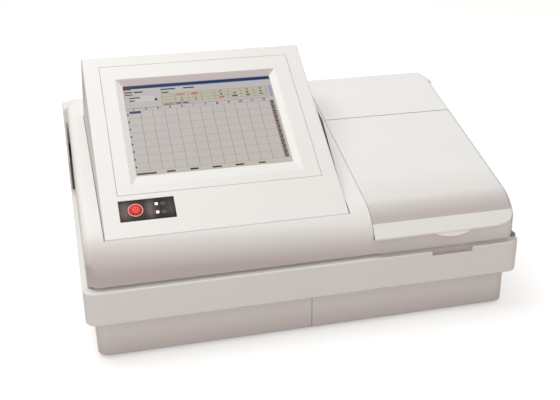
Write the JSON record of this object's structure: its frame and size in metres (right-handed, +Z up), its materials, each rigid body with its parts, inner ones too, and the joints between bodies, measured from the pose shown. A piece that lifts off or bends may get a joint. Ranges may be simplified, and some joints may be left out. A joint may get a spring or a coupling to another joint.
{
  "type": "microplate reader",
  "caption": "Bench microplate reader with a sloping touch screen, hinged plate bay lid, sliding plate carriage and filter wheel optics.",
  "frame": {"origin": "on the surface it stands on, under the centre of the overall box", "axes": "+X to the right across the width as seen from the front, +Y from the front to the back, +Z up"},
  "size_m": [0.475, 0.3, 0.2578],
  "materials": {
    "rubber_black": "matt moulded rubber",
    "shell_grey": "satin moulded housing, slightly textured",
    "shell_white": "semi-gloss moulded housing",
    "zinc_steel": "zinc plated sheet",
    "bright_steel": "ground steel",
    "dark_plastic": "matt dark moulding",
    "painted_panel": "powder coat",
    "screen_glass": "flat glass front, lit from behind",
    "dark_metal": "black coated metal",
    "circuit_green": "solder resist",
    "control_dark": "dark membrane",
    "rim_pale": "pale rim",
    "button_red": "translucent red",
    "led_white": "clear light pipe",
    "anodised_black": "black anodised",
    "carriage_grey": "dark engineering plastic",
    "bronze": "sintered bronze",
    "lens_glass": "clear glass",
    "filter_glass": "coated interference glass"
  },
  "bodies": {
    "root": {"rubber_feet": "rubber_black", "base_skirt_left": "shell_grey", "base_skirt_right": "shell_grey", "chassis_plate": "zinc_steel", "middle_band": "shell_grey", "upper_cover": "shell_white", "rear_top_cover": "shell_white", "rear_housing": "shell_white", "grip_pads": "dark_plastic", "side_rail": "dark_plastic", "rear_panel": "painted_panel", "display_housing": "shell_white", "display_bezel": "shell_white", "touch_screen": "screen_glass", "lcd_panel": "dark_metal", "display_board": "circuit_green", "control_panel": "control_dark", "button_ring": "rim_pale", "button_board": "circuit_green", "status_leds": "led_white", "hinge_pins": "bright_steel", "hinge_brackets": "zinc_steel", "bay_liner": "dark_plastic", "deck_pillars": "bright_steel", "deck_plate": "anodised_black", "guide_rods": "bright_steel", "rod_supports": "anodised_black", "timing_belt": "rubber_black", "idler_post": "bright_steel", "carriage_motor": "dark_metal", "lens_bar": "anodised_black", "lenses": "lens_glass", "read_head": "anodised_black", "optics_bridge": "zinc_steel", "optics_plate": "zinc_steel", "lamp_housing": "anodised_black", "lamp": "lens_glass", "lens_tube": "anodised_black", "condenser_lens": "lens_glass", "filter_motor": "dark_metal", "main_board": "circuit_green", "power_supply": "zinc_steel", "fan_frame": "dark_plastic", "mains_inlet": "dark_plastic", "switch_frame": "dark_plastic", "port_sockets": "bright_steel"},
    "power_button": {"power_button": "button_red"},
    "lid": {"lid": "shell_white", "lid_hinge_arms": "zinc_steel"},
    "carriage": {"plate_carriage": "carriage_grey", "carriage_bushes": "bronze"},
    "drive_pulley": {"drive_pulley": "bright_steel"},
    "idler_pulley": {"idler_pulley": "bright_steel"},
    "filter_wheel": {"filter_wheel": "anodised_black", "filters": "filter_glass"},
    "fan_impeller": {"fan_impeller": "dark_plastic"},
    "mains_rocker": {"mains_rocker": "dark_plastic"}
  },
  "joints": [
    {"name": "lid_hinge", "type": "hinge", "parent": "root", "child": "lid", "pos_m": [0.1475, 0.05, 0.16498], "axis": [-1, 0, 0], "range_deg": [0, 65]},
    {"name": "carriage_slide", "type": "slide", "parent": "root", "child": "carriage", "axis": [-1, 0, 0], "range_m": [0, 0.15]},
    {"name": "drive_pulley_turn", "type": "hinge", "parent": "root", "child": "drive_pulley", "pos_m": [-0.086, 0.0155, 0.069], "axis": [0, 0, 1], "range_deg": [-1300, 0]},
    {"name": "idler_pulley_turn", "type": "hinge", "parent": "root", "child": "idler_pulley", "pos_m": [0.213, 0.0155, 0.069], "axis": [0, 0, 1], "range_deg": [-1300, 0]},
    {"name": "power_button_press", "type": "slide", "parent": "root", "child": "power_button", "axis": [0, 0.524, -0.8517], "range_m": [0, 0.0012], "stiffness_N_per_m": 600},
    {"name": "filter_wheel_turn", "type": "hinge", "parent": "root", "child": "filter_wheel", "pos_m": [-0.12, 0.094, 0.05], "axis": [1, 0, 0], "continuous": true},
    {"name": "fan_turn", "type": "hinge", "parent": "root", "child": "fan_impeller", "pos_m": [-0.15, 0.135, 0.128], "axis": [0, 1, 0], "continuous": true},
    {"name": "mains_rocker_tilt", "type": "hinge", "parent": "root", "child": "mains_rocker", "pos_m": [0.128, 0.1425, 0.076], "axis": [1, 0, 0], "range_deg": [-8, 8]}
  ],
  "couplings": [
    {"joint": "drive_pulley_turn", "follows": "carriage_slide", "rad_per_m": -149.25},
    {"joint": "idler_pulley_turn", "follows": "carriage_slide", "rad_per_m": -149.25}
  ]
}
